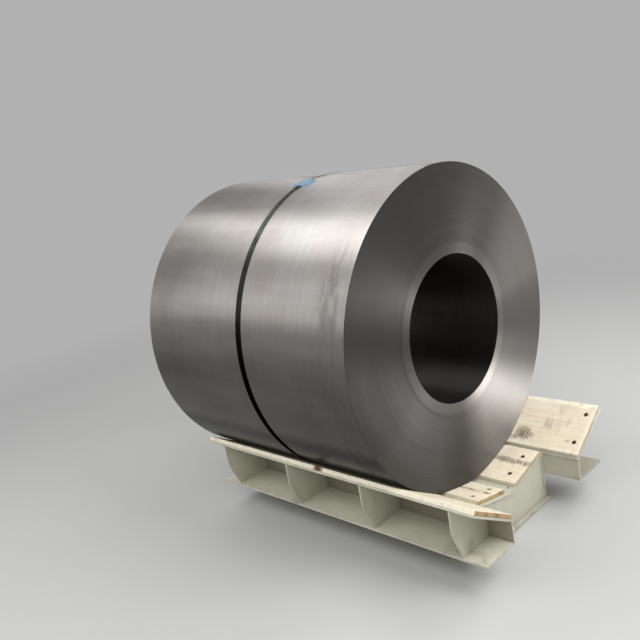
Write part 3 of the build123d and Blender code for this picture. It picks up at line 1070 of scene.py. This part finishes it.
# Each lamp's name, place, target, size, brightness and what it lights
LAMPS = (
    ("key_lamp", (-1.88, -0.93, 4.36), (0.35, -0.45, 1.3), (2.0, 2.0), 4.2, "all"),
    ("side_lamp", (-1.85, -2.64, 2.60), (0.4, -0.6, 1.2), (1.5, 2.2), 1.65, "all"),
    ("front_fill", (3.3, 0.5, 3.6), (0.7, 0.1, 0.3), (2.4, 2.4), 7.0, "fill"),
    ("back_fill", (1.2, 2.8, 3.9), (0.2, 0.3, 0.4), (2.4, 2.4), 4.5, "fill"),
    ("side_fill", (-0.2, -2.6, 2.8), (0.1, -0.5, 0.4), (2.4, 1.4), 3.2, "fill"),
    ("camera_fill", (2.6, -2.4, 3.4), (0.8, 0.0, 0.3), (2.0, 2.0), 2.6, "fill"),
    ("fan_card", (2.25, 1.43, 0.43), (0.61, 0.2, 0.5), (0.2, 0.2), 42.0, "card"),
    ("low_fan_card", (1.36, 1.18, 0.12), (0.61, 0.3, 0.5), (0.2, 0.2), 32.0, "card"),
    ("crown_card", (-0.45, 0.36, 2.68), (-0.45, -0.28, 1.45), (1.2, 1.1), 1.1, "card"),
    ("top_card", (-0.95, 1.10, 2.12), (-0.95, -0.12, 1.45), (1.7, 0.9), 0.75, "card"),
)


def plain_floor(floor_colour):
    """Dull floor, a hair under the saddle, that fades out far from it."""
    material, shader = new_material("plain_floor")
    away = put(shader.id_data, "ShaderNodeTexCoord", output="Object").vector("LENGTH")
    feed(shader, {"Base Color": opaque(floor_colour), "Roughness": 0.8, "Specular IOR Level": 0.2,
                  "Alpha": away.ramp(1.5, 5.5, 1.0, 0.0)})
    edge, level = 9.0, -0.0005
    corners = np.array([[-edge, -edge, level], [edge, -edge, level], [edge, edge, level], [-edge, edge, level]])
    mesh_piece("floor", corners, np.array([[0, 1, 2, 3]]), [material], smooth=False)


def aim_camera(settings):
    """Camera at the eye. Its forward way is the heading, tipped by the dip, and its right is turned by the roll."""
    heading, dip, roll = settings.heading, settings.dip, settings.roll
    forward = Vector((cos(dip) * cos(heading), cos(dip) * sin(heading), -sin(dip)))
    level = forward.cross(Vector((0, 0, 1))).normalized()
    right = level * cos(roll) - level.cross(forward) * sin(roll)
    axes = Matrix((right, right.cross(forward), -forward)).transposed()
    camera = in_scene("camera", bpy.data.cameras.new("camera"))
    camera.data.lens = settings.lens
    camera.data.sensor_width = 36.0
    camera.matrix_world = Matrix.Translation(settings.eye) @ axes.to_4x4()
    bpy.context.scene.camera = camera


class SetStage(bpy.types.Operator):
    """Set the plain floor, the soft lamps, the surround and the camera"""

    bl_idname = "steel_coil.set_stage"
    bl_label = "Set the stage"

    def execute(self, context):
        settings = context.scene.stage_settings
        context.scene.view_settings.view_transform = "Standard"
        plain_floor(settings.floor_colour)
        world = bpy.data.worlds.new("surround")
        world.use_nodes = True
        world.node_tree.nodes["Background"].inputs["Color"].default_value = opaque([settings.surround] * 3)
        context.scene.world = world
        for lamp in LAMPS:
            soft_lamp(*lamp)
        aim_camera(settings)
        return {"FINISHED"}


# Panel


OPERATORS = (SetStage, WindCoil, FitStrap, LayBoards, DressSaddle)


class CoilPanel(bpy.types.Panel):
    """Lists the steps that build the coil and its saddle"""

    bl_idname = "VIEW3D_PT_steel_coil"
    bl_label = "Steel coil"
    bl_space_type = "VIEW_3D"
    bl_region_type = "UI"
    bl_category = "Steel coil"

    def draw(self, context):
        for name, kind in SETTINGS.items():
            box = self.layout.box()
            for prop in kind.__annotations__:
                box.prop(getattr(context.scene, name), prop)
        for operator in OPERATORS:
            self.layout.operator(operator.bl_idname)


CLASSES = (*SETTINGS.values(), *OPERATORS, CoilPanel)


def register():
    for kind in CLASSES:
        bpy.utils.register_class(kind)
    for name, kind in SETTINGS.items():
        setattr(bpy.types.Scene, name, PointerProperty(type=kind))


def unregister():
    for name in SETTINGS:
        delattr(bpy.types.Scene, name)
    for kind in reversed(CLASSES):
        bpy.utils.unregister_class(kind)


def main():
    """Builds everything in order."""
    register()
    bpy.ops.steel_coil.set_stage()
    bpy.ops.steel_coil.wind()
    bpy.ops.steel_coil.fit_strap()
    bpy.ops.steel_coil.lay_boards()
    bpy.ops.steel_coil.dress_saddle()


if __name__ == "__main__":
    main()
